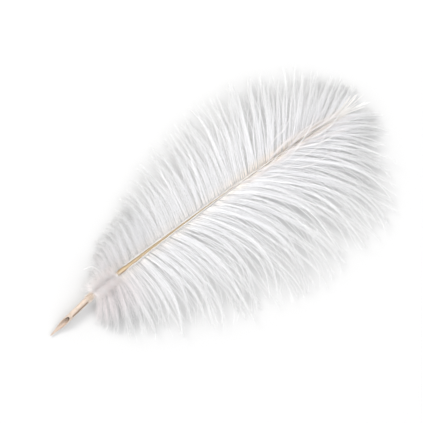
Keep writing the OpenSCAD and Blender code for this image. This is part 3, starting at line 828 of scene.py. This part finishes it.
rows = []
for i in range(sprayPlan["strands"]):
    f = 2 * (i + 0.5) / sprayPlan["strands"] - 1
    turn = sprayPlan["fan"] * f
    t = sprayPlan["from"] + (shaftEnds[1] - sprayPlan["from"]) * dice.random()
    root, tip = (share * turn + dice.normal(0, stray)
                 for share, stray in (sprayPlan["root"], sprayPlan["tip"]))
    rows.append((t, f, root, tip, dice.uniform(*sprayPlan["rise"]), dice.uniform(*sprayPlan["length"])))
paths, lengths = looseSet(rows)
warm = np.broadcast_to(0.35 * tints["peach"] + 0.65 * tints["white"], paths.shape)
threads = frond(paths, lengths, warm, sprayPlan["radius"], loosePlan)
fluffPiece("tip_spray_fluff", threads, "tip_spray")
print("loose barbs made")


# short barbules that lie over the shaft's shoulders and leave a narrowing stripe of horn bare
# (bare: share of the width on each side of the middle that stays open, by share of the shaft's length)
shoulderPlan = {"count": 1800, "from": 0.12, "to": 0.985, "length": (2.0, 5.5), "radius": 0.05,
                "height": 0.62, "low": 0.15, "points": 7, "stray": 0.05, "inward": (0.55, 1.0),
                "outer": (0.6, 1.1), "loose": (0.0, 0.5), "thin": [(0, 1), (0.6, 0.9), (1, 0.35)],
                "bare": [(0, 0.5), (0.15, 0.45), (0.3, 0.33), (0.45, 0.25), (0.57, 0.15), (0.66, -0.1),
                         (1, -0.5)]}


def shoulderThreads(plan, sign):
    n = plan["count"]
    t = dice.uniform(plan["from"], plan["to"], n)
    length = dice.uniform(*plan["length"], n) * mm
    v = np.linspace(0, 1, plan["points"])
    places = np.clip(t[:, None] + length[:, None] * 0.9 * v / shaftLength, 0, 1)
    width = onShaft(shaftWidth, places)
    bare = keyed(plan["bare"], places) + dice.normal(0, plan["stray"], (n, 1))
    inward = np.sin(math.pi * np.minimum(v * dice.uniform(*plan["inward"], (n, 1)), 1))
    outer = dice.uniform(*plan["outer"], (n, 1))
    off = sign * width * (outer + (bare - outer) * inward)
    high = width * (-plan["low"] + (plan["height"] + plan["low"]) * np.minimum(1.25 * inward, 1))
    high = high + dice.uniform(*plan["loose"], (n, 1)) * mm * inward
    paths = (onShaft(shaftLine, places.ravel()) + onShaft(shaftSide, places.ravel()) * off.ravel()[:, None]
             + onShaft(shaftUp, places.ravel()) * high.ravel()[:, None]).reshape(n, len(v), 3)
    radii = plan["radius"] * mm * keyed(plan["thin"], v) * np.ones((n, 1))
    share = (0.3 + 0.6 * ease(t, 0.4, 0.75))[:, None] * dice.random((n, 1))
    warm = tints["white"] * (1 - share) + tints["peach"] * share
    return threadMesh(paths, radii, threadSides["barbule"], warm)


for side in ("left", "right"):
    fluffPiece(f"{side}_shoulder_fluff", [shoulderThreads(shoulderPlan, vanePlan[side]["sign"])])

# down round the foot of the shaft, and the short fuzz left on the barrel's neck: from, to and length in
# mm, angles in degrees; over is the share that crosses the shaft to its other side
downPlan = {
    "tuft": {"count": 2600, "from": -1.5, "to": 18.0, "length": (5, 12), "radius": 0.06, "frizz": 0.13,
             "droop": 0.6, "rise": (10, 75), "lean": (-50, 60), "over": 0.5, "points": 8,
             "colour": ("white", "rose")},
    "fuzz": {"count": 1500, "from": -9.5, "to": 1.0, "length": (0.7, 2.0), "radius": 0.04, "frizz": 0.1,
             "droop": 0.3, "rise": (-10, 70), "lean": (10, 75), "over": 0.2, "points": 4,
             "colour": ("peach", "neck")},
}
downThin = [(0, 1), (0.6, 0.8), (1, 0.3)]
rootRing = (-10, 80)  # degrees up from each side
crimpTurns = (5, 10)  # radians of crimp along a thread
overRise = 0.7  # radians; lower threads would run through the shaft
# how far from the axis the roots stand, mm, by mm from the barrel's end
neckRadius = [(-8, 2.2), (-4, 2.0), (-0.5, 1.8), (1, 1.7), (24, 1.6)]


def footPoint(x):
    # a point on the axis of the barrel's top, or of the shaft beyond it, at x mm from the barrel's end
    onBarrel = onShaft(shaftLine, 0.0)[None] + np.minimum(x, 0)[:, None] * mm * barrelAlong
    return np.where((x < 0)[:, None], onBarrel, onShaft(shaftLine, np.maximum(x, 0) * mm / shaftLength))


def downThreads(plan):
    n = plan["count"]
    x = dice.uniform(plan["from"], plan["to"], n)
    hand = np.where(dice.random(n) < 0.5, 1.0, -1.0)
    rise = np.radians(dice.uniform(*plan["rise"], n))
    lean = np.radians(dice.uniform(*plan["lean"], n))
    around = np.radians(dice.uniform(*rootRing, n))
    outward = barrelSide * (hand * np.cos(around))[:, None] + barrelUp * np.sin(around)[:, None]
    root = footPoint(x) + outward * (keyed(neckRadius, x) * mm)[:, None]
    over = dice.random(n) < plan["over"]
    hand = np.where(over, -hand, hand)
    rise = np.where(over, np.maximum(rise, overRise), rise)
    flat = barrelSide * (hand * np.cos(lean))[:, None] + barrelAlong * np.sin(lean)[:, None]
    go = flat * np.cos(rise)[:, None] + barrelUp * np.sin(rise)[:, None]
    v = np.linspace(0, 1, plan["points"])[None, :, None]
    length = (dice.uniform(*plan["length"], n) * mm)[:, None, None]
    bend = fullTurn * dice.random((n, 1, 1)) + dice.uniform(*crimpTurns, (n, 1, 1)) * v
    sway = barrelAlong * np.sin(bend) + barrelUp * np.cos(bend)
    paths = root[:, None] + length * (v * go[:, None] - plan["droop"] * v * v * barrelUp
                                      + plan["frizz"] * v * sway)
    paths[..., 2] = np.maximum(paths[..., 2], tableGap["down"])
    radii = plan["radius"] * mm * keyed(downThin, v[0, :, 0]) * np.ones((n, 1))
    share = dice.random((n, 1))
    a, b = plan["colour"]
    return threadMesh(paths, radii, threadSides["barbule"], tints[a] * (1 - share) + tints[b] * share)


fluffPiece("foot_down", [downThreads(downPlan["tuft"])])
fluffPiece("neck_fuzz", [downThreads(downPlan["fuzz"])])
print("down made")

# the barrel and its tines keep their shape
keratin = barrelKeratin(barrelFinish)
for node in ("barrel", "tine_left", "tine_right", "pulp_caps"):
    frame["nodes"][node].data.materials.clear()
    frame["nodes"][node].data.materials.append(pithMaterial() if node == "pulp_caps" else keratin)
print("barrel and nib finished")

# table
tablePlan = {"half": 4.0}
floorMesh = bpy.data.meshes.new("table")
h = tablePlan["half"]
floorMesh.from_pydata([(-h, -h, 0), (h, -h, 0), (h, h, 0), (-h, h, 0)], [], [(0, 1, 2, 3)])
floorMesh.materials.append(tableMaterial())
table = bpy.data.objects.new("table", floorMesh)
bpy.context.scene.collection.objects.link(table)
